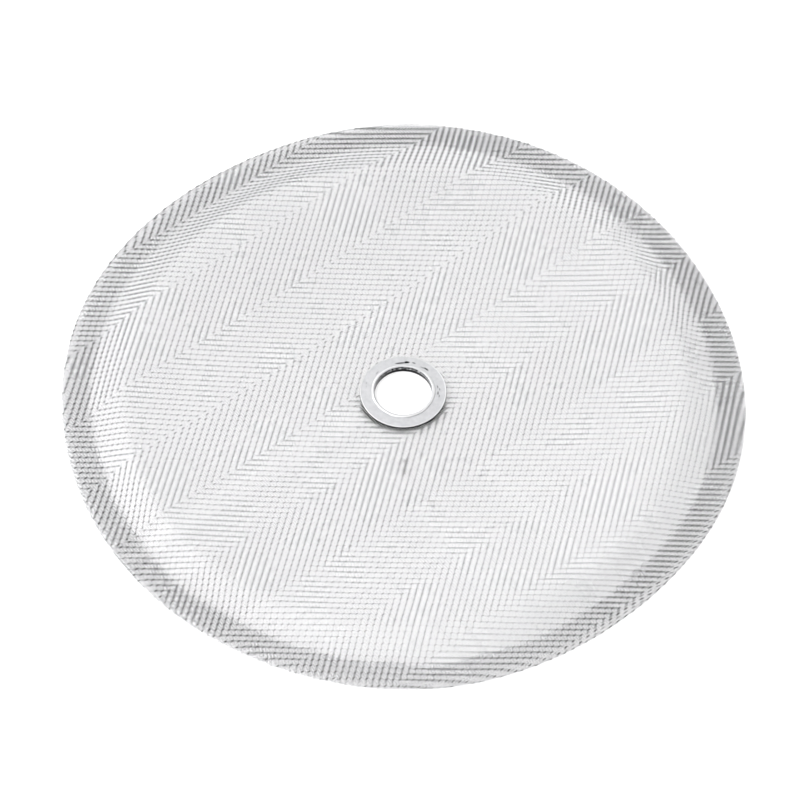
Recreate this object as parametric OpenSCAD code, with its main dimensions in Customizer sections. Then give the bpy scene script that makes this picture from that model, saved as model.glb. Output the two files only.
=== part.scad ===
// Filter screen of a plunger coffee maker: a pressed disc of herringbone wire cloth,
// its edge turned under into a double hem, with a clenched eyelet at the centre.
// Z = 0 is the surface that the hem and the eyelet's flange lie on, and Z is the screen's axis.

/* [Disc] */
// Outside diameter over the turned edge
disc_d = 100; // [96:1:120]
// Width of the slope between the crest and the hem
slope_w = 4.8; // [3:0.2:8]
// Height of the crest, from the resting surface to the underside of the cloth
crest_h = 1.9; // [1.2:0.1:3]
// Width of the double hem round the edge
hem_w = 4.5; // [3:0.25:5]
// Space left between the two layers of the hem
hem_gap = 0.12; // [0.06:0.02:0.3]

/* [Cloth] */
// Thickness of the woven wall in the valleys
wall_t = 0.18; // [0.14:0.02:0.3]
// Height of the twill ridges over the valleys
ridge_h = 0.08; // [0.04:0.02:0.16]
// Spacing of the twill ridges, each of which stands for two lines of floats
ridge_pitch = 1.82; // [1.6:0.02:2.6]
// Width of one twill ridge
ridge_w = 0.9; // [0.6:0.05:1]
// Width of one herringbone stripe
stripe_w = 10.5; // [8:0.5:14]
// Shift of the stripes across their own run
stripe_shift = 4.2; // [0:0.1:8]
// Direction of the stripes, from the X axis
stripe_angle = 38; // [0:1:90]
// Angle between the ridges and their stripe
twill_angle = 39.5; // [35:0.5:45]
// Width of an open slit in a valley
slit_w = 0.7; // [0.1:0.05:0.8]
// Cloth left whole at both ends of a slit, across the stripe
slit_end = 2.5; // [1.5:0.25:3.5]
// Valleys from one slit to the next
slit_every = 1; // [1:1:8]

/* [Eyelet] */
// Clear hole through the eyelet
bore_d = 8.3; // [6:0.1:9]
// Thickness of the eyelet's sheet
eyelet_t = 0.3; // [0.2:0.05:0.4]
// Outside diameter of the flange under the cloth
flange_d = 12.1; // [11.4:0.1:13]
// How far the clenched lip reaches over the washer
lip_w = 0.25; // [0.15:0.05:0.4]
// Outside diameter of the washer on the cloth
washer_d = 12.6; // [11.8:0.1:14]
// Thickness of the washer
washer_t = 0.4; // [0.3:0.05:0.6]
// Rounding of the washer's and the flange's outer edges
edge_round = 0.14; // [0.06:0.02:0.18]
// Free space round the eyelet's barrel
barrel_clear = 0.05; // [0.02:0.01:0.1]
// Plain cloth left round the washer
land_edge = 0.4; // [0.2:0.1:1]

/* [Hidden] */
$fn = 128;

disc_r = disc_d / 2;
hem_r = disc_r - hem_w;
crest_r = hem_r - slope_w;
hem_z = wall_t + hem_gap;
fold_r = wall_t + hem_gap / 2;
fold_mid_r = disc_r - fold_r;
full_t = wall_t + ridge_h;

bore_r = bore_d / 2;
barrel_r = bore_r + eyelet_t;
cloth_hole_r = barrel_r + barrel_clear;
washer_r = washer_d / 2;
land_r = washer_r + land_edge;
land_z = eyelet_t;
washer_z = land_z + wall_t;
lip_z = washer_z + washer_t;
lip_roll = (eyelet_t + lip_w) / 2;

web_steps = 2;
over = crest_h + 1;
stripe_count = 2 * ceil((disc_r + stripe_w) / stripe_w);
stripe_lean = stripe_w / tan(twill_angle);
ridge_step = ridge_pitch / sin(twill_angle);
valley_run = (ridge_pitch - ridge_w) / sin(twill_angle);
slit_run = slit_w / sin(twill_angle);
slit_h = stripe_w - 2 * slit_end;
valley_lines = ceil((disc_r + stripe_lean) / ridge_step);

// Underside of the cloth along a radius: land, sagging web, crest, slope, hem
under_path = [
    [cloth_hole_r, land_z],
    [land_r, land_z],
    for (i = [1 : web_steps])
        let (t = i / web_steps)
            [land_r + t * (crest_r - land_r), land_z + t * t * (crest_h - land_z)],
    [hem_r, hem_z],
    [fold_mid_r, hem_z]
];

function raised(path, h) = [for (p = path) [p[0], p[1] + h]];
function reversed(path) = [for (i = [len(path) - 1 : -1 : 0]) path[i]];
function stripe_v(k) = (k - stripe_count / 2) * stripe_w + stripe_shift;
function lean(k) = (k % 2 == 0) ? 0 : stripe_lean;
function valley_u(j) = j * ridge_step - stripe_lean / 2;

// Section between two heights over the underside of the cloth
module layer(low, high) {
    polygon(concat(raised(under_path, low), reversed(raised(under_path, high))));
}

// The same section outside the plain land round the washer
module woven_layer(low, high) {
    intersection() {
        layer(low, high);
        translate([land_r, 0])
            square([disc_r, over]);
    }
}

// Half ring that joins the hem's two layers at the rim
module fold() {
    intersection() {
        translate([fold_mid_r, fold_r])
            difference() {
                circle(fold_r, $fn = 12);
                circle(hem_gap / 2, $fn = 12);
            }
        translate([fold_mid_r, 0])
            square([fold_r, 2 * fold_r]);
    }
}

// The cloth at its full thickness, with the layer turned under at the hem
module full_cloth() {
    rotate_extrude() {
        layer(0, wall_t);
        woven_layer(0, full_t);
        fold();
        translate([hem_r, 0])
            square([hem_w - fold_r, wall_t]);
    }
}

// One valley runs as a zigzag through all the stripes
module valley_line(u) {
    left = [for (k = [0 : stripe_count]) [u + lean(k), stripe_v(k)]];
    right = [for (p = left) [p[0] + valley_run, p[1]]];
    polygon(concat(left, reversed(right)));
}

// What is pressed away between the ridges, down to the wall
module valleys() {
    intersection() {
        rotate_extrude()
            woven_layer(wall_t, full_t + 0.2);
        rotate(stripe_angle)
            linear_extrude(over)
                for (j = [-valley_lines : valley_lines])
                    valley_line(valley_u(j));
    }
}

// One slit along a valley, where it lies clear of the crest and the land
module slit(j, k) {
    side = (k % 2 == 0) ? 1 : -1;
    v = stripe_v(k) + slit_end;
    u = valley_u(j) + lean(k) + side * slit_end / tan(twill_angle) + (valley_run - slit_run) / 2;
    tip = side * slit_h / tan(twill_angle);
    far = max(norm([u, v]), norm([u + tip, v + slit_h]));
    near = norm([u + tip / 2, v + slit_h / 2]);
    if (far < crest_r - slit_end && near > land_r + slit_h)
        polygon([[u, v], [u + slit_run, v], [u + slit_run + tip, v + slit_h], [u + tip, v + slit_h]]);
}

module slits() {
    rotate(stripe_angle)
        translate([0, 0, -1])
            linear_extrude(over + 2)
                for (k = [0 : stripe_count - 1], j = [-valley_lines : slit_every : valley_lines])
                    slit(j, k);
}

module mesh_disc() {
    color("gainsboro")
        difference() {
            difference() {
                full_cloth();
                valleys();
            }
            slits();
        }
}

// Section of a flat ring whose outer edge is rounded on one side
module ring_section(inner, outer, t, round_z) {
    translate([inner, 0])
        square([outer - edge_round - inner, t]);
    translate([inner, round_z < t / 2 ? edge_round : 0])
        square([outer - inner, t - edge_round]);
    translate([outer - edge_round, round_z])
        circle(edge_round, $fn = 32);
}

// Flange below, barrel through the cloth, top edge clenched over the washer
module eyelet() {
    color("silver")
        rotate_extrude() {
            ring_section(bore_r, flange_d / 2, eyelet_t, edge_round);
            translate([bore_r, 0])
                square([eyelet_t, lip_z]);
            intersection() {
                translate([bore_r + lip_roll, lip_z])
                    circle(lip_roll, $fn = 32);
                translate([bore_r, lip_z])
                    square(2 * lip_roll);
            }
        }
}

module eyelet_washer() {
    color("silver")
        translate([0, 0, washer_z])
            rotate_extrude()
                ring_section(cloth_hole_r, washer_r, washer_t, washer_t - edge_round);
}

mesh_disc();
eyelet();
eyelet_washer();
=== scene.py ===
import math

import bmesh
import bpy
from mathutils import Matrix, Vector


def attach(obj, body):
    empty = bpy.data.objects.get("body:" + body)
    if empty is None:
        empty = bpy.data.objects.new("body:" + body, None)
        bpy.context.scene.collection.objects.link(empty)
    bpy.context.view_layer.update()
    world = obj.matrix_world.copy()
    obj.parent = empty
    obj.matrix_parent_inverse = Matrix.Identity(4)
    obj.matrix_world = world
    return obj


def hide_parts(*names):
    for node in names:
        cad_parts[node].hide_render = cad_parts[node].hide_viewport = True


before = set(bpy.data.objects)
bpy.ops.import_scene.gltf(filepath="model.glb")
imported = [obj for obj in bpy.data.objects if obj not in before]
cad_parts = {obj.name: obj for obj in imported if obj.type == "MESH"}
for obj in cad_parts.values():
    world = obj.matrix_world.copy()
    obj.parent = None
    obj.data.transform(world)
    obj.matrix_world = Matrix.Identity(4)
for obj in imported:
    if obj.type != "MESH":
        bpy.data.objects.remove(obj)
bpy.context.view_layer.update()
mm = 0.001
scene = bpy.context.scene
print("frame loaded", sorted(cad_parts))


def linear(hexCode):  # sRGB hex to linear colour
    parts = [int(hexCode[i:i + 2], 16) / 255 for i in (1, 3, 5)]
    return [c / 12.92 if c < 0.04045 else ((c + 0.055) / 1.055) ** 2.4 for c in parts] + [1.0]


def addNode(tree, kind, inputs=None, **settings):  # one node; a node given as an input links its first output
    made = tree.nodes.new(kind)
    for name, value in settings.items():
        setattr(made, name, value)
    for key, value in (inputs or {}).items():
        if isinstance(value, bpy.types.Node):
            value = value.outputs[0]
        if isinstance(value, bpy.types.NodeSocket):
            tree.links.new(value, made.inputs[key])
        else:
            made.inputs[key].default_value = value
    return made


def newTree(name, sizes):  # empty geometry tree with its named inputs
    tree = bpy.data.node_groups.new(name, "GeometryNodeTree")
    kinds = {bool: "NodeSocketBool", int: "NodeSocketInt", float: "NodeSocketFloat",
             bpy.types.Object: "NodeSocketObject", bpy.types.Material: "NodeSocketMaterial"}
    for label, value in sizes.items():
        socket = tree.interface.new_socket(label, in_out="INPUT", socket_type=kinds[type(value)])
        socket.default_value = value
    tree.interface.new_socket("Geometry", in_out="OUTPUT", socket_type="NodeSocketGeometry")
    return tree, addNode(tree, "NodeGroupInput").outputs


def wiresFromTree(name, tree, sizes):  # runs a tree on an empty mesh and keeps the plain result
    holder = bpy.data.objects.new(name + "Holder", bpy.data.meshes.new(name + "Empty"))
    scene.collection.objects.link(holder)
    modifier = holder.modifiers.new(name, "NODES")
    modifier.node_group = tree
    for item in tree.interface.items_tree:
        if item.in_out == "INPUT" and item.name in sizes:
            modifier[item.identifier] = sizes[item.name]
    bpy.context.view_layer.update()
    ready = holder.evaluated_get(bpy.context.evaluated_depsgraph_get())
    mesh = bpy.data.meshes.new_from_object(ready)
    mesh.name = name
    piece = bpy.data.objects.new(name, mesh)
    scene.collection.objects.link(piece)
    bpy.data.objects.remove(holder)
    return piece


# numbering along a twill line: steps to one line, and the places where a warp or a weft float lies on top
twillLine = dict(steps=4.0, warpFloat=0.5, weftFloat=2.5)


# materials

def newMaterial(name):
    made = bpy.data.materials.new(name)
    made.use_nodes = True
    tree = made.node_tree
    tree.nodes.clear()
    return made, tree


# Stainless steel wire, drawn bright and woven: a soft sheen that runs along each wire and wires that
# differ a little in tone, the warp's a little darker as painted shade. The warp's floats carry spots of
# painted shade, which draw the twill, the hem holds more painted shade, and the cloth at the washer's near
# foot a painted shadow. A float is about a pixel wide in the render, too fine to show, so its spot is drawn
# as dark and as long as it needs, and strong on every second wire.
wireLook = dict(
    warp=dict(pale="#F6F6F7", deep="#EAEAEC", twillShade="#040405", paintedShade="#040405"),
    weft=dict(pale="#FDFDFD", deep="#F4F4F5", twillShade="#F4F4F5", paintedShade="#F2F2F3"),
    spotHalf=0.25, spotFade=0.40,        # half length of a spot and end of its fade, as shares of a float
    faintFrom=0.84, faint=0.6,           # the fainter line of painted shade between two lines of spots
    toneLow=0.2, toneHigh=0.8,           # wire tones at which a spot is weakest and strongest
    spotLeast=0.14, oddSpot=0.85,        # strength of the weakest spot, and of spots in every second stripe
    shadeWider=0.6, shadeMore=0.55,  # what full painted shade on the hem adds to a spot's length and strength
    shadowAndStain="#141517", shadowAndStainFrom=1.3, shadowAndStainFull=1.8,  # darkest colour, for the painted shadow at the washer's near foot and for stains, and the levels where it shows
    roughLow=0.22, roughHigh=0.34, patchMm=7.0)


def wireSteel(kind):
    made, tree = newMaterial(kind + "StainlessWire")
    look, shades = wireLook, wireLook[kind]
    where = addNode(tree, "ShaderNodeTexCoord").outputs["Object"]
    patch = addNode(tree, "ShaderNodeTexNoise", {
        "Vector": where, "Scale": 1000 / look["patchMm"], "Detail": 3.0, "Roughness": 0.6})
    own = addNode(tree, "ShaderNodeAttribute", attribute_name="wireTone")
    tone = addNode(tree, "ShaderNodeMath", {0: patch.outputs["Fac"], 1: own.outputs["Fac"]}, operation="ADD")
    half = addNode(tree, "ShaderNodeMath", {0: tone, 1: 0.5}, operation="MULTIPLY")
    drawn = addNode(tree, "ShaderNodeMix", {
        "Factor": half, 6: linear(shades["deep"]), 7: linear(shades["pale"])}, data_type="RGBA")
    twill = addNode(tree, "ShaderNodeAttribute", attribute_name="twill")
    halfLine = twillLine["steps"] / 2
    moved = addNode(tree, "ShaderNodeMath", {
        0: twill.outputs["Fac"], 1: halfLine - twillLine["warpFloat"]}, operation="ADD")
    phase = addNode(tree, "ShaderNodeMath", {0: moved, 1: twillLine["steps"]}, operation="FLOORED_MODULO")
    signed = addNode(tree, "ShaderNodeMath", {0: phase, 1: halfLine}, operation="SUBTRACT")
    apart = addNode(tree, "ShaderNodeMath", {0: signed}, operation="ABSOLUTE")
    grime = addNode(tree, "ShaderNodeAttribute", attribute_name="grime").outputs["Fac"]
    level = addNode(tree, "ShaderNodeMath", {0: grime, 1: 1.0}, operation="MINIMUM")
    wider = addNode(tree, "ShaderNodeMath", {
        0: level, 1: look["shadeWider"], 2: 1.0}, operation="MULTIPLY_ADD")
    halves = addNode(tree, "ShaderNodeMath", {0: wider, 1: halfLine}, operation="MULTIPLY")
    part = addNode(tree, "ShaderNodeMath", {0: apart, 1: halves}, operation="DIVIDE")
    ramp = addNode(tree, "ShaderNodeValToRGB", {"Fac": part})
    stops = ramp.color_ramp.elements
    stops[0].position, stops[0].color = look["spotHalf"], (0, 0, 0, 1)
    stops[1].position, stops[1].color = 1.0, (look["faint"], look["faint"], look["faint"], 1)
    for place in (look["spotFade"], look["faintFrom"]):
        stops.new(place).color = (1, 1, 1, 1)
    spotByTone = addNode(tree, "ShaderNodeMapRange", {
        "Value": own.outputs["Fac"], "From Min": look["toneLow"], "From Max": look["toneHigh"],
        "To Min": look["spotLeast"], "To Max": 1.0})
    stripe = addNode(tree, "ShaderNodeAttribute", attribute_name="oddStripe")
    quiet = addNode(tree, "ShaderNodeMapRange", {
        "Value": stripe.outputs["Fac"], "To Min": 1.0, "To Max": look["oddSpot"]})
    plain = addNode(tree, "ShaderNodeMath", {0: spotByTone, 1: quiet}, operation="MULTIPLY")
    more = addNode(tree, "ShaderNodeMath", {
        0: level, 1: look["shadeMore"], 2: plain}, operation="MULTIPLY_ADD")
    shown = addNode(tree, "ShaderNodeMath", {0: more, 1: 1.0}, operation="MINIMUM")
    bare = addNode(tree, "ShaderNodeMix", {
        "Factor": shown, 6: (1, 1, 1, 1), 7: ramp.outputs["Color"]}, data_type="RGBA").outputs[2]
    # spots of painted shade: the twill's spots on the warp, longer and deeper where the hem holds painted
    # shade
    spot = addNode(tree, "ShaderNodeMix", {
        "Factor": level, 6: linear(shades["twillShade"]), 7: linear(shades["paintedShade"])}, data_type="RGBA")
    spotted = addNode(tree, "ShaderNodeMix", {
        "Factor": bare, 6: spot.outputs[2], 7: drawn.outputs[2]}, data_type="RGBA")
    # darkest colour: painted shadow at the washer's near foot, and stains
    shadowAndStainShare = addNode(tree, "ShaderNodeMapRange", {
        "Value": grime, "From Min": look["shadowAndStainFrom"], "From Max": look["shadowAndStainFull"]})
    colour = addNode(tree, "ShaderNodeMix", {
        "Factor": shadowAndStainShare, 6: spotted.outputs[2], 7: linear(look["shadowAndStain"])}, data_type="RGBA")
    rough = addNode(tree, "ShaderNodeMapRange", {
        "Value": patch.outputs["Fac"], "To Min": look["roughLow"], "To Max": look["roughHigh"]})
    steel = addNode(tree, "ShaderNodeBsdfPrincipled", {
        "Base Color": colour.outputs[2], "Metallic": 1.0, "Roughness": rough})
    addNode(tree, "ShaderNodeOutputMaterial", {"Surface": steel.outputs["BSDF"]})
    return made


# Satin sheet steel, stamped and tumbled: fine scratches in all directions and a broad highlight, dark in the
# clenching tool's bites, with a painted highlight along the washer's rim and the lip's curl, and painted
# shade on the washer's foot, in the lip's dents, on its inner edge and down the barrel.
eyeletLook = dict(pale="#E8E8EA", deep="#C0C1C4", markAndShadeColour="#141517", paintedHighlight="#FCFCFC",
                  roughLow=0.26, roughHigh=0.42, scratchMm=0.7, scratchDeepMm=0.02, scratchShare=0.25,
                  markGrainMm=0.3, markAndShadeFrom=0.06, markAndShadeFull=0.3)


def satinSteel():
    made, tree = newMaterial("satinSheetSteel")
    where = addNode(tree, "ShaderNodeTexCoord").outputs["Object"]
    scuff = addNode(tree, "ShaderNodeTexNoise", {
        "Vector": where, "Scale": 1000 / eyeletLook["scratchMm"], "Detail": 5.0, "Roughness": 0.65})
    plain = addNode(tree, "ShaderNodeMix", {
        "Factor": scuff.outputs["Fac"], 6: linear(eyeletLook["deep"]), 7: linear(eyeletLook["pale"])},
        data_type="RGBA")
    # the tool's marks and the painted shade on the foot, the lip and the barrel share one dark colour
    markAndShade = addNode(tree, "ShaderNodeAttribute", attribute_name="markAndShade")
    grain = addNode(tree, "ShaderNodeTexNoise", {
        "Vector": where, "Scale": 1000 / eyeletLook["markGrainMm"], "Detail": 2.0})
    grainyMarkAndShade = addNode(tree, "ShaderNodeMath", {
        0: markAndShade.outputs["Fac"], 1: grain.outputs["Fac"]}, operation="MULTIPLY")
    markAndShadeShare = addNode(tree, "ShaderNodeMapRange", {
        "Value": grainyMarkAndShade, "From Min": eyeletLook["markAndShadeFrom"], "From Max": eyeletLook["markAndShadeFull"]},
        interpolation_type="SMOOTHSTEP")
    # painted highlight on the washer's rim and the lip's curl
    paintedHighlight = addNode(tree, "ShaderNodeAttribute", attribute_name="paintedHighlight")
    edges = addNode(tree, "ShaderNodeMix", {
        "Factor": paintedHighlight.outputs["Fac"], 6: plain.outputs[2], 7: linear(eyeletLook["paintedHighlight"])},
        data_type="RGBA")
    colour = addNode(tree, "ShaderNodeMix", {
        "Factor": markAndShadeShare, 6: edges.outputs[2], 7: linear(eyeletLook["markAndShadeColour"])}, data_type="RGBA")
    rough = addNode(tree, "ShaderNodeMapRange", {
        "Value": scuff.outputs["Fac"], "To Min": eyeletLook["roughLow"], "To Max": eyeletLook["roughHigh"]})
    bump = addNode(tree, "ShaderNodeBump", {
        "Height": scuff.outputs["Fac"], "Strength": eyeletLook["scratchShare"],
        "Distance": eyeletLook["scratchDeepMm"] * mm})
    steel = addNode(tree, "ShaderNodeBsdfPrincipled", {
        "Base Color": colour.outputs[2], "Metallic": 1.0, "Roughness": rough,
        "Normal": bump.outputs["Normal"]})
    addNode(tree, "ShaderNodeOutputMaterial", {"Surface": steel.outputs["BSDF"]})
    return made


warpMaterial, weftMaterial = wireSteel("warp"), wireSteel("weft")
sheetMaterial = satinSteel()
print("materials ready")

# woven cloth, all sizes in mm

cloth = dict(
    warpPitch=10.5 / 36, weftPitch=0.3587, stripeWires=36, stripeShift=4.2, stripeAngle=38.0,
    warpRadius=0.072, weftRadius=0.08, warpCrimp=0.07, weftCrimp=0.09,
    landZ=0.39, landR=6.4, landEase=1.0, pressed=0.33,  # pressed: share of the crimp left under the washer
    crestR=40.7, crestZ=2.0, crestBend=0.5, hemR=45.5, hemZ=0.475, hemBend=0.7, underZ=0.175, rimR=49.84,
    holeR=4.7, ragged=0.55, raggedScale=5.0, raggedLow=0.25, raggedHigh=0.75,
    tail=1.0,                 # spare section past the raw edge
    snap=0.36, snapWide=3.0,  # points this near the fold are drawn onto it, easing out over three times that
    webSteps=24, bendSteps=6, foldSteps=12, wireSides=4, sparePoints=2,
    secondShare=0.7,          # share of a wire's tone that alternates from wire to wire
    nudge=0.001)              # keeps whole numbers from rounding down
# inward waves of the outline: (waves round the rim, depth in mm, phase in degrees)
rimWaves = [(2, 0.10, -44), (3, 0.10, -93), (4, 0.27, 130), (5, 0.09, 105), (6, 0.10, -146)]
rimInset = 0.40
# levels of painted shade and stain: one is full painted shade on the hem, and more is the darkest colour, for
# the painted shadow at the washer's near foot and for stains
paintedShade = dict(
    wayDegrees=30.0, wayFrom=-0.5, wayFull=0.7, least=0.3, edge=1.1,  # painted shade on the hem, deepest towards one side
    patchScale=1.8, patchFrom=0.35, patchFull=0.65, patchLeast=0.6,
    foot=1.5, footLevel=2.0, footFrom=0.25, footFull=-0.5,            # painted shadow on the cloth at the washer's near foot
    under=2.0)                                                        # taken off the layer turned under
# faint stains on the web: (x, y, radius, level)
webStains = [(0.3, -12.0, 1.1, 2.2), (0.2, -13.6, 1.1, 2.2), (0.5, -18.8, 0.7, 2.0), (3.9, -19.2, 0.7, 2.0)]


def bend(before, corner, after, size):  # rounds a corner of the section
    steps = cloth["bendSteps"]

    def toward(point):
        gone = Vector(point) - Vector(corner)
        return Vector(corner) + gone.normalized() * size
    start, end, mid = toward(before), toward(after), Vector(corner)
    return [tuple(start * (1 - t) ** 2 + mid * 2 * t * (1 - t) + end * t * t)
            for t in (i / steps for i in range(steps + 1))]


def clothSection():  # middle of the cloth from the axis out, over the fold and back under the hem
    c = cloth
    web = []
    for i in range(c["webSteps"] + 1):
        t = i / c["webSteps"]
        web.append((c["landR"] + t * (c["crestR"] - c["landR"]),
                    c["landZ"] + t * t * (c["crestZ"] - c["landZ"])))
    crest, foot = (c["crestR"], c["crestZ"]), (c["hemR"], c["hemZ"])
    foldR = (c["hemZ"] - c["underZ"]) / 2
    foldX, foldZ = c["rimR"] - foldR, (c["hemZ"] + c["underZ"]) / 2
    points = [(0.0, c["landZ"])] + web[:-1] + bend(web[-2], crest, foot, c["crestBend"])
    points += bend(crest, foot, (foldX, c["hemZ"]), c["hemBend"])
    for i in range(c["foldSteps"] + 1):
        turn = math.pi * i / c["foldSteps"]
        points.append((foldX + foldR * math.sin(turn), foldZ + foldR * math.cos(turn)))
    points.append((c["hemR"] - c["tail"], c["underZ"]))
    lengths = [0.0]
    for a, b in zip(points, points[1:]):
        lengths.append(lengths[-1] + math.dist(a, b))
    curve = bpy.data.curves.new("clothSection", "CURVE")
    curve.dimensions = "3D"
    spline = curve.splines.new("POLY")
    spline.points.add(len(points) - 1)
    for knot, (r, z) in zip(spline.points, points):
        knot.co = (r * mm, 0, z * mm, 1)
    made = bpy.data.objects.new("clothSection", curve)
    scene.collection.objects.link(made)
    foldMid = lengths[-2 - c["foldSteps"] // 2]    # length out to the outermost point of the fold
    return made, foldMid, lengths[-1] - c["tail"]


def formGroup(section, foldMid, reach):  # bends flat wires to the section and gives them thickness
    tree, given = newTree("formedWires", {
        "Section": section, "Stripe Angle": math.radians(cloth["stripeAngle"]), "Fold Length": foldMid * mm,
        "Snap": cloth["snap"] * mm, "Reach": reach * mm, "Ragged": cloth["ragged"] * mm,
        "Shade Edge": paintedShade["edge"] * mm, "Hole Radius": cloth["holeR"] * mm,
        "Land Radius": cloth["landR"] * mm, "Pressed": cloth["pressed"], "Rim Inset": rimInset * mm,
        "Wave From": cloth["crestR"] * mm, "Wave Full": cloth["hemR"] * mm,
        "Wire Radius": cloth["weftRadius"] * mm})
    tree.interface.new_socket("Flat Wires", in_out="INPUT", socket_type="NodeSocketGeometry")
    place = addNode(tree, "ShaderNodeSeparateXYZ", {0: addNode(tree, "GeometryNodeInputPosition")})
    flat = addNode(tree, "ShaderNodeCombineXYZ", {"X": place.outputs["X"], "Y": place.outputs["Y"]})
    turned = addNode(tree, "ShaderNodeVectorRotate", {
        "Vector": flat, "Angle": given["Stripe Angle"]}, rotation_type="Z_AXIS")
    far = addNode(tree, "ShaderNodeVectorMath", {0: turned}, operation="LENGTH").outputs["Value"]
    way = addNode(tree, "ShaderNodeVectorMath", {0: turned}, operation="NORMALIZE")
    wayParts = addNode(tree, "ShaderNodeSeparateXYZ", {0: way}).outputs

    # raw edge of the turned layer, and the hole for the eyelet
    tatter = addNode(tree, "ShaderNodeTexNoise", {
        "Vector": way, "Scale": cloth["raggedScale"], "Detail": 3.0})
    spread = addNode(tree, "ShaderNodeMapRange", {
        "Value": tatter, "From Min": cloth["raggedLow"], "From Max": cloth["raggedHigh"],
        "To Min": -1.0, "To Max": 1.0})
    edge = addNode(tree, "ShaderNodeMath", {0: spread, 1: given["Ragged"], 2: given["Reach"]},
                   operation="MULTIPLY_ADD")
    past = addNode(tree, "ShaderNodeMath", {0: far, 1: edge}, operation="GREATER_THAN")
    inside = addNode(tree, "ShaderNodeMath", {0: far, 1: given["Hole Radius"]}, operation="LESS_THAN")
    gone = addNode(tree, "ShaderNodeMath", {0: past, 1: inside}, operation="MAXIMUM")
    kept = addNode(tree, "GeometryNodeDeleteGeometry", {
        "Geometry": given["Flat Wires"], "Selection": gone}, domain="POINT")

    # painted shade on the hem, painted shadow at the washer's near foot, and stains, stored as one level
    hemStart = addNode(tree, "ShaderNodeMath", {0: spread, 1: given["Shade Edge"], 2: given["Wave Full"]},
                       operation="MULTIPLY_ADD")
    hemFull = addNode(tree, "ShaderNodeMath", {0: hemStart, 1: given["Shade Edge"]}, operation="ADD")
    double = addNode(tree, "ShaderNodeMapRange", {
        "Value": far, "From Min": hemStart, "From Max": hemFull}, interpolation_type="SMOOTHSTEP")
    toward = math.radians(paintedShade["wayDegrees"])
    facing = addNode(tree, "ShaderNodeVectorMath", {
        0: way, 1: (math.cos(toward), math.sin(toward), 0.0)}, operation="DOT_PRODUCT").outputs["Value"]
    deeper = addNode(tree, "ShaderNodeMapRange", {
        "Value": facing, "From Min": paintedShade["wayFrom"], "From Max": paintedShade["wayFull"],
        "To Min": paintedShade["least"], "To Max": 1.0})
    patchy = addNode(tree, "ShaderNodeTexNoise", {
        "Vector": way, "Scale": paintedShade["patchScale"], "Detail": 1.0})
    uneven = addNode(tree, "ShaderNodeMapRange", {
        "Value": patchy, "From Min": paintedShade["patchFrom"], "From Max": paintedShade["patchFull"],
        "To Min": paintedShade["patchLeast"], "To Max": 1.0})
    least = addNode(tree, "ShaderNodeMath", {0: deeper, 1: uneven}, operation="MULTIPLY")
    upper = addNode(tree, "ShaderNodeMath", {0: far, 1: given["Fold Length"]}, operation="LESS_THAN")
    hemShadeStrength = addNode(tree, "ShaderNodeMath", {0: least, 1: upper}, operation="MULTIPLY")
    double = addNode(tree, "ShaderNodeMath", {0: double, 1: hemShadeStrength}, operation="MULTIPLY")
    # painted shadow on the cloth at the washer's near foot, on the near side only
    footEnd = addNode(tree, "ShaderNodeMath", {
        0: given["Land Radius"], 1: paintedShade["foot"] * mm}, operation="ADD")
    foot = addNode(tree, "ShaderNodeMapRange", {
        "Value": far, "From Min": given["Land Radius"], "From Max": footEnd,
        "To Min": paintedShade["footLevel"], "To Max": 0.0})
    front = addNode(tree, "ShaderNodeMapRange", {
        "Value": wayParts["Y"], "From Min": paintedShade["footFrom"], "From Max": paintedShade["footFull"]},
        interpolation_type="SMOOTHSTEP")
    footShadowLevel = addNode(tree, "ShaderNodeMath", {0: foot, 1: front}, operation="MULTIPLY")
    grime = addNode(tree, "ShaderNodeMath", {0: double, 1: footShadowLevel}, operation="MAXIMUM")
    for x, y, size, most in webStains:
        apart = addNode(tree, "ShaderNodeVectorMath", {
            0: turned, 1: (x * mm, y * mm, 0)}, operation="DISTANCE").outputs["Value"]
        stain = addNode(tree, "ShaderNodeMapRange", {
            "Value": apart, "From Min": 0.0, "From Max": size * mm, "To Min": most, "To Max": 0.0})
        grime = addNode(tree, "ShaderNodeMath", {0: grime, 1: stain}, operation="MAXIMUM")
    below = addNode(tree, "ShaderNodeMath", {0: upper, 1: 1.0}, operation="SUBTRACT")
    grime = addNode(tree, "ShaderNodeMath", {
        0: below, 1: paintedShade["under"], 2: grime}, operation="MULTIPLY_ADD")
    kept = addNode(tree, "GeometryNodeStoreNamedAttribute", {
        "Geometry": kept, "Name": "grime", "Value": grime}, data_type="FLOAT", domain="POINT")

    # points near the fold are drawn onto its outermost line, so that the rim is even
    off = addNode(tree, "ShaderNodeMath", {0: far, 1: given["Fold Length"]}, operation="SUBTRACT")
    size = addNode(tree, "ShaderNodeMath", {0: off}, operation="ABSOLUTE")
    side = addNode(tree, "ShaderNodeMath", {0: off}, operation="SIGN")
    wide = addNode(tree, "ShaderNodeMath", {0: given["Snap"], 1: cloth["snapWide"]}, operation="MULTIPLY")
    drawn = addNode(tree, "ShaderNodeMapRange", {
        "Value": size, "From Min": given["Snap"], "From Max": wide, "To Min": 0.0, "To Max": wide})
    close = addNode(tree, "ShaderNodeMath", {0: size, 1: wide}, operation="LESS_THAN")
    step = addNode(tree, "ShaderNodeMix", {"Factor": close, 2: size, 3: drawn})
    along = addNode(tree, "ShaderNodeMath", {0: side, 1: step, 2: given["Fold Length"]},
                    operation="MULTIPLY_ADD")

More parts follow.
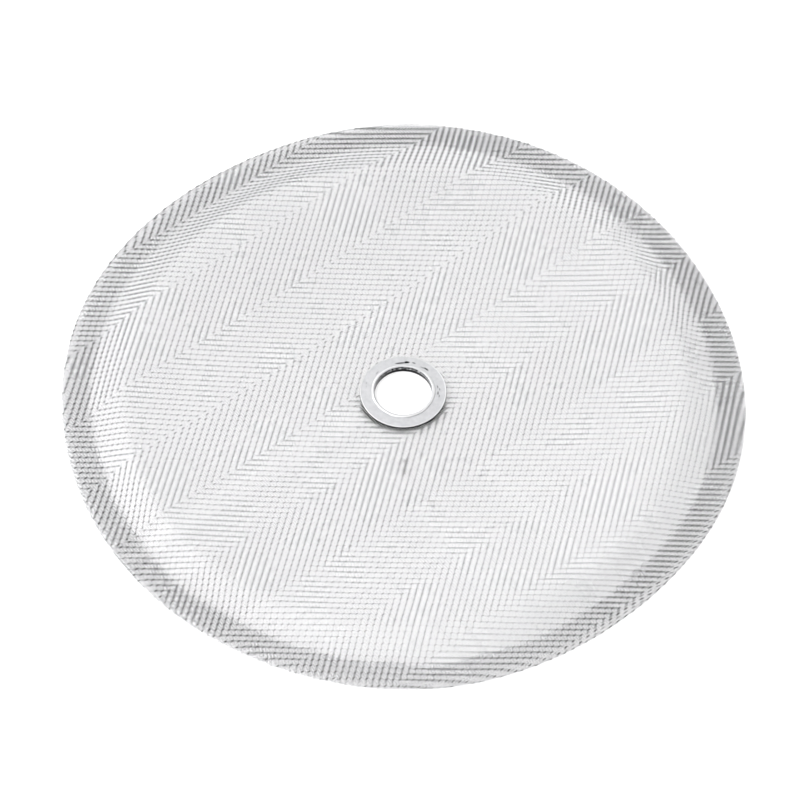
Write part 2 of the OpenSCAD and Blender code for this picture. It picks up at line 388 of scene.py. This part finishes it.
    # place on the section, with the crimp along its normal
    line = addNode(tree, "GeometryNodeObjectInfo", {"Object": given["Section"]}).outputs["Geometry"]
    spot = addNode(tree, "GeometryNodeSampleCurve", {"Curves": line, "Length": along}, mode="LENGTH")
    at = addNode(tree, "ShaderNodeSeparateXYZ", {0: spot.outputs["Position"]}).outputs
    run = addNode(tree, "ShaderNodeSeparateXYZ", {0: spot.outputs["Tangent"]}).outputs
    landEnd = addNode(tree, "ShaderNodeMath", {
        0: given["Land Radius"], 1: cloth["landEase"] * mm}, operation="ADD")
    ease = addNode(tree, "ShaderNodeMapRange", {
        "Value": far, "From Min": given["Land Radius"], "From Max": landEnd, "To Min": given["Pressed"],
        "To Max": 1.0}, interpolation_type="SMOOTHSTEP")
    lift = addNode(tree, "ShaderNodeMath", {0: place.outputs["Z"], 1: ease}, operation="MULTIPLY")
    back = addNode(tree, "ShaderNodeMath", {0: run["Z"], 1: -1.0}, operation="MULTIPLY")
    out = addNode(tree, "ShaderNodeMath", {0: back, 1: lift, 2: at["X"]}, operation="MULTIPLY_ADD")
    up = addNode(tree, "ShaderNodeMath", {0: run["X"], 1: lift, 2: at["Z"]}, operation="MULTIPLY_ADD")

    # waves of the outline, full at the hem and none inside the crest
    angle = addNode(tree, "ShaderNodeMath", {0: wayParts["Y"], 1: wayParts["X"]}, operation="ARCTAN2")
    inset = given["Rim Inset"]
    for count, depth, phase in rimWaves:
        turn = addNode(tree, "ShaderNodeMath", {0: angle, 1: float(count), 2: math.radians(phase)},
                       operation="MULTIPLY_ADD")
        wave = addNode(tree, "ShaderNodeMath", {0: turn}, operation="SINE")
        inset = addNode(tree, "ShaderNodeMath", {0: wave, 1: -depth * mm, 2: inset},
                        operation="MULTIPLY_ADD")
    inset = addNode(tree, "ShaderNodeMath", {0: inset, 1: 0.0}, operation="MAXIMUM")
    share = addNode(tree, "ShaderNodeMapRange", {
        "Value": at["X"], "From Min": given["Wave From"], "From Max": given["Wave Full"]},
        interpolation_type="SMOOTHSTEP")
    pulled = addNode(tree, "ShaderNodeMath", {0: inset, 1: share}, operation="MULTIPLY")
    radius = addNode(tree, "ShaderNodeMath", {0: out, 1: pulled}, operation="SUBTRACT")
    ring = addNode(tree, "ShaderNodeVectorMath", {0: way, "Scale": radius}, operation="SCALE")
    high = addNode(tree, "ShaderNodeCombineXYZ", {"Z": up})
    goal = addNode(tree, "ShaderNodeVectorMath", {0: ring, 1: high}, operation="ADD")
    formed = addNode(tree, "GeometryNodeSetPosition", {"Geometry": kept, "Position": goal})

    path = addNode(tree, "GeometryNodeMeshToCurve", {"Mesh": formed})
    rod = addNode(tree, "GeometryNodeCurvePrimitiveCircle", {
        "Resolution": cloth["wireSides"], "Radius": given["Wire Radius"]})
    wire = addNode(tree, "GeometryNodeCurveToMesh", {
        "Curve": path, "Profile Curve": rod, "Fill Caps": True})
    smooth = addNode(tree, "GeometryNodeSetShadeSmooth", {"Geometry": wire})
    addNode(tree, "NodeGroupOutput", {"Geometry": smooth})
    return tree


def wireGrid(tree, given):  # rows of points, one row a wire, on whole-number coordinates
    firstWire = addNode(tree, "ShaderNodeCombineXYZ", {"Y": given["First Wire"]})
    rows = addNode(tree, "GeometryNodeMeshLine", {
        "Count": given["Wires"], "Start Location": firstWire, "Offset": (0, 1, 0)})
    firstPoint = addNode(tree, "ShaderNodeCombineXYZ", {"X": given["First Point"]})
    row = addNode(tree, "GeometryNodeMeshLine", {
        "Count": given["Points"], "Start Location": firstPoint, "Offset": (1, 0, 0)})
    placed = addNode(tree, "GeometryNodeInstanceOnPoints", {"Points": rows, "Instance": row})
    chance = addNode(tree, "FunctionNodeRandomValue", {"Seed": given["Seed"]}, data_type="FLOAT")
    order = addNode(tree, "GeometryNodeInputIndex")
    second = addNode(tree, "ShaderNodeMath", {0: order, 1: 2.0}, operation="FLOORED_MODULO")
    mixed = addNode(tree, "ShaderNodeMix", {"Factor": cloth["secondShare"], 2: chance.outputs[1], 3: second})
    toned = addNode(tree, "GeometryNodeStoreNamedAttribute", {
        "Geometry": placed, "Name": "wireTone", "Value": mixed}, data_type="FLOAT", domain="INSTANCE")
    grid = addNode(tree, "GeometryNodeRealizeInstances", {"Geometry": toned})
    number = addNode(tree, "ShaderNodeSeparateXYZ", {0: addNode(tree, "GeometryNodeInputPosition")})
    along = addNode(tree, "ShaderNodeMath", {0: number.outputs["X"]}, operation="ROUND")
    across = addNode(tree, "ShaderNodeMath", {0: number.outputs["Y"]}, operation="ROUND")
    return grid, along, across


def closeTree(tree, given, form, grid, u, v, z, twill, odd):  # flat places, then the forming and the steel
    flat = addNode(tree, "ShaderNodeCombineXYZ", {"X": u, "Y": v, "Z": z})
    marked = addNode(tree, "GeometryNodeStoreNamedAttribute", {
        "Geometry": grid, "Name": "twill", "Value": twill}, data_type="FLOAT", domain="POINT")
    marked = addNode(tree, "GeometryNodeStoreNamedAttribute", {
        "Geometry": marked, "Name": "oddStripe", "Value": odd}, data_type="FLOAT", domain="POINT")
    laid = addNode(tree, "GeometryNodeSetPosition", {"Geometry": marked, "Position": flat})
    shaped = addNode(tree, "GeometryNodeGroup", {
        "Flat Wires": laid, "Wire Radius": given["Wire Radius"]}, node_tree=form)
    real = addNode(tree, "GeometryNodeRealizeInstances", {"Geometry": shaped})
    steel = addNode(tree, "GeometryNodeSetMaterial", {"Geometry": real, "Material": given["Steel"]})
    addNode(tree, "NodeGroupOutput", {"Geometry": steel})


weaveInputs = {"Wires": 2, "First Wire": 0, "Points": 2, "First Point": 0, "Seed": 1,
               "Warp Pitch": cloth["warpPitch"] * mm, "Weft Pitch": cloth["weftPitch"] * mm,
               "Stripe Wires": float(cloth["stripeWires"]), "Stripe Shift": cloth["stripeShift"] * mm,
               "Crimp": cloth["weftCrimp"] * mm, "Wire Radius": cloth["weftRadius"] * mm,
               "Steel": weftMaterial}


def warpTree(form):  # wires along the stripes, over two and under two, with the step turned at each stripe
    tree, given = newTree("warpWires", weaveInputs)
    grid, m, t = wireGrid(tree, given)
    pair = addNode(tree, "ShaderNodeMath", {0: given["Stripe Wires"], 1: 2.0}, operation="MULTIPLY")
    inPair = addNode(tree, "ShaderNodeMath", {0: t, 1: pair}, operation="FLOORED_MODULO")
    fall = addNode(tree, "ShaderNodeMath", {0: inPair, 1: given["Stripe Wires"]}, operation="SUBTRACT")
    drop = addNode(tree, "ShaderNodeMath", {0: fall}, operation="ABSOLUTE")
    step = addNode(tree, "ShaderNodeMath", {0: given["Stripe Wires"], 1: drop}, operation="SUBTRACT")
    start = addNode(tree, "ShaderNodeMath", {0: step, 1: twillLine["warpFloat"]}, operation="ADD")
    floatMid = addNode(tree, "ShaderNodeMath", {0: m, 1: 2.0, 2: start}, operation="MULTIPLY_ADD")
    u = addNode(tree, "ShaderNodeMath", {0: floatMid, 1: given["Weft Pitch"]}, operation="MULTIPLY")
    v = addNode(tree, "ShaderNodeMath", {0: t, 1: given["Warp Pitch"], 2: given["Stripe Shift"]},
                operation="MULTIPLY_ADD")
    ratio = addNode(tree, "ShaderNodeMath", {0: t, 1: given["Stripe Wires"]}, operation="DIVIDE")
    nudged = addNode(tree, "ShaderNodeMath", {0: ratio, 1: cloth["nudge"]}, operation="ADD")
    stripe = addNode(tree, "ShaderNodeMath", {0: nudged}, operation="FLOOR")
    broken = addNode(tree, "ShaderNodeMath", {0: stripe, 1: 2.0}, operation="FLOORED_MODULO")
    order = addNode(tree, "ShaderNodeMath", {0: m, 1: broken}, operation="ADD")
    odd = addNode(tree, "ShaderNodeMath", {0: order, 1: 2.0}, operation="FLOORED_MODULO")
    sign = addNode(tree, "ShaderNodeMath", {0: odd, 1: -2.0, 2: 1.0}, operation="MULTIPLY_ADD")
    z = addNode(tree, "ShaderNodeMath", {0: sign, 1: given["Crimp"]}, operation="MULTIPLY")
    twill = addNode(tree, "ShaderNodeMath", {
        0: order, 1: 2.0, 2: twillLine["warpFloat"]}, operation="MULTIPLY_ADD")
    closeTree(tree, given, form, grid, u, v, z, twill, broken)
    return tree


def weftTree(form):  # wires across the stripes, mirrored at each stripe's edge
    tree, given = newTree("weftWires", weaveInputs)
    grid, n, i = wireGrid(tree, given)
    floats = addNode(tree, "ShaderNodeMath", {0: given["Stripe Wires"], 1: 0.5}, operation="MULTIPLY")
    ratio = addNode(tree, "ShaderNodeMath", {0: n, 1: floats}, operation="DIVIDE")
    nudged = addNode(tree, "ShaderNodeMath", {0: ratio, 1: cloth["nudge"]}, operation="ADD")
    stripe = addNode(tree, "ShaderNodeMath", {0: nudged}, operation="FLOOR")
    passed = addNode(tree, "ShaderNodeMath", {0: stripe, 1: floats}, operation="MULTIPLY")
    k = addNode(tree, "ShaderNodeMath", {0: n, 1: passed}, operation="SUBTRACT")
    odd = addNode(tree, "ShaderNodeMath", {0: stripe, 1: 2.0}, operation="FLOORED_MODULO")
    last = addNode(tree, "ShaderNodeMath", {0: floats, 1: 1.0}, operation="SUBTRACT")
    mirror = addNode(tree, "ShaderNodeMath", {0: k, 1: -2.0, 2: last}, operation="MULTIPLY_ADD")
    count = addNode(tree, "ShaderNodeMath", {0: odd, 1: mirror, 2: k}, operation="MULTIPLY_ADD")
    shifted = addNode(tree, "ShaderNodeMath", {0: i, 1: twillLine["weftFloat"]}, operation="SUBTRACT")
    base = addNode(tree, "ShaderNodeMath", {0: shifted, 1: 2.0}, operation="FLOORED_MODULO")
    step = addNode(tree, "ShaderNodeMath", {0: count, 1: 2.0, 2: base}, operation="MULTIPLY_ADD")
    flip = addNode(tree, "ShaderNodeMath", {0: step, 1: -2.0, 2: given["Stripe Wires"]},
                   operation="MULTIPLY_ADD")
    inStripe = addNode(tree, "ShaderNodeMath", {0: odd, 1: flip, 2: step}, operation="MULTIPLY_ADD")
    t = addNode(tree, "ShaderNodeMath", {0: stripe, 1: given["Stripe Wires"], 2: inStripe},
                operation="MULTIPLY_ADD")
    u = addNode(tree, "ShaderNodeMath", {0: i, 1: given["Weft Pitch"]}, operation="MULTIPLY")
    v = addNode(tree, "ShaderNodeMath", {0: t, 1: given["Warp Pitch"], 2: given["Stripe Shift"]},
                operation="MULTIPLY_ADD")
    gap = addNode(tree, "ShaderNodeMath", {0: i, 1: step}, operation="SUBTRACT")
    turns = addNode(tree, "ShaderNodeMath", {0: gap, 1: twillLine["weftFloat"]}, operation="SUBTRACT")
    halved = addNode(tree, "ShaderNodeMath", {0: turns, 1: 0.5}, operation="MULTIPLY")
    whole = addNode(tree, "ShaderNodeMath", {0: halved}, operation="ROUND")
    order = addNode(tree, "ShaderNodeMath", {0: whole, 1: odd}, operation="ADD")
    under = addNode(tree, "ShaderNodeMath", {0: order, 1: 2.0}, operation="FLOORED_MODULO")
    sign = addNode(tree, "ShaderNodeMath", {0: under, 1: -2.0, 2: 1.0}, operation="MULTIPLY_ADD")
    z = addNode(tree, "ShaderNodeMath", {0: sign, 1: given["Crimp"]}, operation="MULTIPLY")
    twill = addNode(tree, "ShaderNodeMath", {
        0: order, 1: 2.0, 2: twillLine["weftFloat"]}, operation="MULTIPLY_ADD")
    closeTree(tree, given, form, grid, u, v, z, twill, odd)
    return tree


section, foldMid, reach = clothSection()
form = formGroup(section, foldMid, reach)
flatR = reach + cloth["tail"]
warp, weft = warpTree(form), weftTree(form)
warpFirst = math.floor((-flatR - cloth["stripeShift"]) / cloth["warpPitch"])
warpLast = math.ceil((flatR - cloth["stripeShift"]) / cloth["warpPitch"])
warpMid = (warpFirst + warpLast) // 2
weftLast = math.ceil(flatR / cloth["weftPitch"])
lead = cloth["stripeWires"] * cloth["weftPitch"]
warpStart = -math.ceil((flatR + lead) / cloth["weftPitch"] / 2)
warpPoints = math.ceil((2 * flatR + lead) / cloth["weftPitch"] / 2) + cloth["sparePoints"]
weftStart = math.floor(warpFirst / 2) - cloth["sparePoints"]
weftPoints = math.ceil(warpLast / 2) + cloth["sparePoints"] + 1 - weftStart
clothPieces = []
for name, tree, kind, first, wires, start, points, seed in (
        ("warpWiresNear", warp, "warp", warpFirst, warpMid - warpFirst, warpStart, warpPoints, 11),
        ("warpWiresFar", warp, "warp", warpMid, warpLast - warpMid + 1, warpStart, warpPoints, 12),
        ("weftWiresLeft", weft, "weft", -weftLast, weftLast, weftStart, weftPoints, 13),
        ("weftWiresRight", weft, "weft", 0, weftLast + 1, weftStart, weftPoints, 14)):
    piece = wiresFromTree(name, tree, {
        "Wires": wires, "First Wire": first, "Points": points, "First Point": start, "Seed": seed,
        "Crimp": cloth[kind + "Crimp"] * mm, "Wire Radius": cloth[kind + "Radius"] * mm,
        "Steel": warpMaterial if kind == "warp" else weftMaterial})
    clothPieces.append(piece)
    print(name, "triangles", sum(len(p.vertices) - 2 for p in piece.data.polygons))
bpy.data.objects.remove(section)
for piece in clothPieces:
    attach(piece, "root")
    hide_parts("mesh_disc")

# eyelet and washer, turned from their sections, all sizes in mm

eyelet = dict(
    turns=256, boreR=4.15, sheet=0.30, flangeR=6.05, flangeRound=0.13, flangeMid=5.0, flangeTopMid=5.2,
    barrelMid=0.6, lipZ=0.88, lipWide=0.275, lipHigh=0.21, flangeSteps=5, wallSteps=16, lipSteps=16)
washer = dict(
    inner=4.5, mid=5.3, outer=6.3, low=0.48, top=0.88, edgeRound=0.14, footRound=0.05,
    footSteps=3, sideSteps=5, edgeSteps=9, topSteps=24,
    dish=0.025, warped=0.3, warpedPhase=0.7,                 # warped: share that waves twice a turn
    footShadowTop=0.86, footShadowFade=0.12, rimHighlightAt=0.94, rimHighlightWide=0.08)  # painted shadow on the foot and painted highlight on the rim, as shares of the washer's height
# the lip is clenched by hand: (waves round the lip, share, phase) and dents as (angle in degrees, spread)
lipWaves = [(3, 1.0, 0.4), (7, 0.6, 1.9), (13, 0.4, 0.8)]
lipDents = [(88, 0.22), (52, 0.1)]
lip = dict(
    # painted shade darkens the lip's dents
    wobble=0.035, inward=1.2, dentReach=0.08, drop=0.018, waveDrop=0.5, dentDrop=0.04, dentShade=0.2,
    innerWide=0.22, innerShade=0.6, innerMean=0.55, innerDegrees=100,  # painted shade on the inner edge, most towards one side
    highlightAt=0.72, highlightWide=0.2)                                    # painted highlight line, shares of the lip's width
# marks left by the clenching tool: (angle in degrees, radius, length, width, depth, darkness)
toolMarks = [
    (94, 5.05, 1.7, 0.22, 0.05, 1.0), (84, 5.25, 0.7, 0.26, 0.05, 1.0), (73, 5.28, 0.6, 0.16, 0.03, 0.7),
    (50, 5.20, 0.8, 0.22, 0.05, 0.9), (57, 5.05, 0.7, 0.14, 0.03, 0.5),
    (9, 5.06, 0.5, 0.16, 0.03, 0.7), (4, 5.30, 0.4, 0.14, 0.03, 0.8), (-3, 5.05, 0.6, 0.16, 0.03, 0.8),
    (-9, 5.27, 0.5, 0.14, 0.02, 0.7), (164, 5.55, 0.7, 0.18, 0.02, 0.4), (171, 5.40, 0.4, 0.14, 0.02, 0.4),
    (262, 5.40, 1.2, 0.20, 0.02, 0.25), (283, 5.15, 0.7, 0.14, 0.02, 0.25), (138, 5.02, 1.0, 0.14, 0.02, 0.5)]
# painted shade down the barrel's wall: (height, spread, darkness), most towards one side
barrelShade = [(0.86, 0.09, 0.9), (0.28, 0.32, 1.8)]
barrelSide = dict(degrees=125, mean=0.7)


def markAt(angle, radius):  # depth and darkness of the tool marks at one place on the ring
    deep, dark = 0.0, 0.0
    for turn, r, length, width, depth, shade in toolMarks:
        apart = (angle - math.radians(turn) + math.pi) % (2 * math.pi) - math.pi
        fade = math.exp(-(apart * r / (0.5 * length)) ** 2 - ((radius - r) / (0.5 * width)) ** 2)
        deep, dark = deep + depth * fade, dark + shade * fade
    return deep, min(dark, 1.0)


def turnRing(name, outline, shape):  # closed ring from an outline of (radius, height, zone)
    mesh = bpy.data.meshes.new(name)
    net = bmesh.new()
    markAndShade = net.verts.layers.float.new("markAndShade")
    paintedHighlight = net.verts.layers.float.new("paintedHighlight")
    rings = []
    for i in range(eyelet["turns"]):
        angle = 2 * math.pi * i / eyelet["turns"]
        ring = []
        for r, z, zone in outline:
            nowR, nowZ, dark, bright = shape(angle, r, z, zone)
            knot = net.verts.new((nowR * math.cos(angle) * mm, nowR * math.sin(angle) * mm, nowZ * mm))
            knot[markAndShade], knot[paintedHighlight] = dark, bright
            ring.append(knot)
        rings.append(ring)
    for a, b in zip(rings, rings[1:] + rings[:1]):
        for i in range(len(outline)):
            j = (i + 1) % len(outline)
            net.faces.new((a[i], b[i], b[j], a[j]))
    bmesh.ops.recalc_face_normals(net, faces=net.faces)
    for face in net.faces:
        face.smooth = True
    net.to_mesh(mesh)
    net.free()
    mesh.materials.append(sheetMaterial)
    made = bpy.data.objects.new(name, mesh)
    scene.collection.objects.link(made)
    return made


def arc(r, z, wide, high, start, end, steps):  # points on part of an ellipse, angles in degrees
    return [(r + wide * math.cos(math.radians(start + (end - start) * i / steps)),
             z + high * math.sin(math.radians(start + (end - start) * i / steps))) for i in range(steps + 1)]


def washerOutline():
    w = washer
    flatEnd = w["outer"] - w["edgeRound"]
    small = w["footRound"]
    foot = arc(w["outer"] - small, w["low"] + small, small, small, -90, 0, w["footSteps"])
    edge = arc(flatEnd, w["top"] - w["edgeRound"], w["edgeRound"], w["edgeRound"], 0, 90, w["edgeSteps"])
    low, rise = foot[-1][1], edge[0][1] - foot[-1][1]
    side = [(w["outer"], low + rise * i / w["sideSteps"]) for i in range(1, w["sideSteps"])]
    points = [(w["inner"], w["low"], "hidden"), (w["mid"], w["low"], "hidden")]
    points += [(r, z, "edge") for r, z in foot + side + edge[:-1]]
    for i in range(w["topSteps"] + 1):
        points.append((flatEnd + (w["inner"] - flatEnd) * i / w["topSteps"], w["top"], "top"))
    return points


def eyeletOutline():
    e = eyelet
    outside = e["boreR"] + e["sheet"]
    small = e["flangeRound"]
    hidden = [(e["boreR"], 0.0), (e["flangeMid"], 0.0)]
    hidden += arc(e["flangeR"] - small, small, small, small, -90, 0, e["flangeSteps"])
    hidden += [(e["flangeR"], e["sheet"]), (e["flangeTopMid"], e["sheet"]), (outside, e["sheet"]),
               (outside, e["barrelMid"])]
    over = arc(e["boreR"] + e["lipWide"], e["lipZ"], e["lipWide"], e["lipHigh"], 0, 180, e["lipSteps"])
    wall = [(e["boreR"], e["lipZ"] * (1 - i / e["wallSteps"])) for i in range(1, e["wallSteps"])]
    zones = (("hidden", hidden), ("lip", over), ("wall", wall))
    return [(r, z, zone) for zone, points in zones for r, z in points]


def washerShape(angle, r, z, zone):  # nearly flat, a little lower towards the edge, with the tool's marks, a painted shadow on the foot and a painted highlight on the rim
    if zone == "hidden":
        return r, z, 0.0, 0.0
    w = washer
    if zone == "edge":  # painted shadow on the foot under a painted highlight on the rolled rim
        high = (z - w["low"]) / (w["top"] - w["low"])
        dark = min(1.0, max(0.0, (w["footShadowTop"] - high) / w["footShadowFade"]))
        return r, z, dark, math.exp(-((high - w["rimHighlightAt"]) / w["rimHighlightWide"]) ** 2)
    deep, dark = markAt(angle, r)
    share = (r - w["inner"]) / (w["outer"] - w["inner"])
    sag = w["dish"] * (share + w["warped"] * math.sin(2 * angle + w["warpedPhase"]))
    return r, z - max(sag, 0.0) - deep, dark, 0.0


def lipShape(angle, r, z, zone):  # the lip's reach and height vary round the hole
    if zone == "hidden":
        return r, z, 0.0, 0.0
    if zone == "wall":
        # painted shade down the barrel's wall
        grime = sum(shade * math.exp(-((z - height) / spread) ** 2) for height, spread, shade in barrelShade)
        facing = math.cos(angle - math.radians(barrelSide["degrees"]))
        return r, z, min(1.0, grime * (barrelSide["mean"] + (1 - barrelSide["mean"]) * facing)), 0.0
    over = (r - eyelet["boreR"]) / (2 * eyelet["lipWide"])
    wave = sum(share * math.sin(count * angle + phase) for count, share, phase in lipWaves)
    dent = sum(math.exp(-((angle - math.radians(turn)) / spread) ** 2) for turn, spread in lipDents)
    reach = r + over * lip["wobble"] * (wave - lip["inward"]) - over * lip["dentReach"] * dent
    drop = lip["drop"] * (1 + lip["waveDrop"] * wave) + lip["dentDrop"] * dent
    lowered = z - drop * min(1.0, max(0.0, (z - eyelet["lipZ"]) / eyelet["lipHigh"]))
    # painted shade on the lip's inner edge and in its dents, and a painted highlight along its curl
    side = lip["innerMean"] + (1 - lip["innerMean"]) * math.cos(angle - math.radians(lip["innerDegrees"]))
    inner = math.exp(-(over / lip["innerWide"]) ** 2) * side
    bright = math.exp(-((over - lip["highlightAt"]) / lip["highlightWide"]) ** 2)
    return reach, lowered, lip["dentShade"] * dent * over + lip["innerShade"] * inner, bright


eyeletRing = turnRing("eyelet_clenched", eyeletOutline(), lipShape)
washerRing = turnRing("eyelet_washer_scuffed", washerOutline(), washerShape)
for piece, node, slot in (
        (eyeletRing, "eyelet", "eyelet_steel"), (washerRing, "eyelet_washer", "washer_steel")):
    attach(piece, "root")
    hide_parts(node)
    print(piece.name, "faces", len(piece.data.polygons))

# studio

# sizes in metres
studio = dict(
    floor="#FAFAFA", floorLift=0.42, floorHalf=1.5, floorDrop=0.02 * mm,
    skyLeft=1.42, skyRight=0.74, skyTurn=0.6, keyPlace=(-0.55, 0.25, 0.55), keySize=0.5, keyWatts=0.8)


# Matt white paper, rolled out flat: an even ground with no sheen, lifted to white where it is seen,
# directly or in a reflection.
def whiteFloor():
    made, tree = newMaterial("whiteSweep")
    matt = addNode(tree, "ShaderNodeBsdfDiffuse", {"Color": linear(studio["floor"])})
    seen = addNode(tree, "ShaderNodeLightPath")
    glossy = addNode(tree, "ShaderNodeMath", {
        0: seen.outputs["Is Camera Ray"], 1: seen.outputs["Is Glossy Ray"]}, operation="MAXIMUM")
    shown = addNode(tree, "ShaderNodeMath", {
        0: glossy, 1: seen.outputs["Is Transmission Ray"]}, operation="MAXIMUM")
    level = addNode(tree, "ShaderNodeMath", {0: shown, 1: studio["floorLift"]}, operation="MULTIPLY")
    glow = addNode(tree, "ShaderNodeEmission", {"Strength": level})
    both = addNode(tree, "ShaderNodeAddShader", {0: matt, 1: glow})
    addNode(tree, "ShaderNodeOutputMaterial", {"Surface": both})
    return made


def makeFloor():
    mesh = bpy.data.meshes.new("floor")
    net = bmesh.new()
    bmesh.ops.create_grid(net, x_segments=2, y_segments=2, size=studio["floorHalf"])
    net.to_mesh(mesh)
    net.free()
    mesh.transform(Matrix.Translation((0, 0, -studio["floorDrop"])))
    mesh.materials.append(whiteFloor())
    made = bpy.data.objects.new("floor", mesh)
    scene.collection.objects.link(made)
    return made


makeFloor()


def softBox(name, place, aim, size, watts):
    lamp = bpy.data.lights.new(name, "AREA")
    lamp.shape = "SQUARE"
    lamp.size = size
    lamp.energy = watts
    made = bpy.data.objects.new(name, lamp)
    made.location = place
    made.rotation_euler = (Vector(aim) - Vector(place)).to_track_quat("-Z", "Y").to_euler()
    scene.collection.objects.link(made)


softBox("keyLeft", studio["keyPlace"], (0, 0, 0), studio["keySize"], studio["keyWatts"])


def studioSky():  # a wide white sheet on the left, falling off to a dark room on the right
    world = bpy.data.worlds.new("studioSky")
    world.use_nodes = True
    tree = world.node_tree
    tree.nodes.clear()
    where = addNode(tree, "ShaderNodeTexCoord").outputs["Generated"]
    way = addNode(tree, "ShaderNodeSeparateXYZ", {0: where})
    level = addNode(tree, "ShaderNodeMapRange", {
        "Value": way.outputs["X"], "From Min": studio["skyTurn"], "From Max": -studio["skyTurn"],
        "To Min": studio["skyRight"], "To Max": studio["skyLeft"]}, interpolation_type="SMOOTHSTEP")
    air = addNode(tree, "ShaderNodeBackground", {"Color": (1, 1, 1, 1), "Strength": level})
    addNode(tree, "ShaderNodeOutputWorld", {"Surface": air})
    return world


scene.world = studioSky()

# camera at the photograph's angle

# away in mm, up in degrees; the disc's centre lies at these pixels of the square picture
view = dict(
    away=595.0, up=55.25, lens=184.32, sensor=36.0, clip=(0.01, 10), centreX=403.3, centreY=393.6,
    frameSize=800, rimZ=0.3)


def makeCamera():
    data = bpy.data.cameras.new("studioCamera")
    data.sensor_width = view["sensor"]
    data.lens = view["lens"]
    made = bpy.data.objects.new("studioCamera", data)
    tilt = math.radians(view["up"])
    forward = Vector((0, math.cos(tilt), -math.sin(tilt)))
    rise = Vector((0, math.sin(tilt), math.cos(tilt)))
    centre = Vector((0, 0, view["rimZ"] * mm))
    away = view["away"] * mm
    pixel = away * data.sensor_width / data.lens / view["frameSize"]   # metres at the disc for one pixel
    half = view["frameSize"] / 2
    aside = Vector((1, 0, 0)) * (view["centreX"] - half) * pixel
    aim = centre - aside + rise * (view["centreY"] - half) * pixel
    made.location = centre - forward * away
    made.rotation_euler = (aim - made.location).to_track_quat("-Z", "Y").to_euler()
    data.clip_start, data.clip_end = view["clip"]
    scene.collection.objects.link(made)
    return made


scene.camera = makeCamera()
scene.view_settings.view_transform = "Standard"
print("studio ready")

bpy.context.view_layer.update()
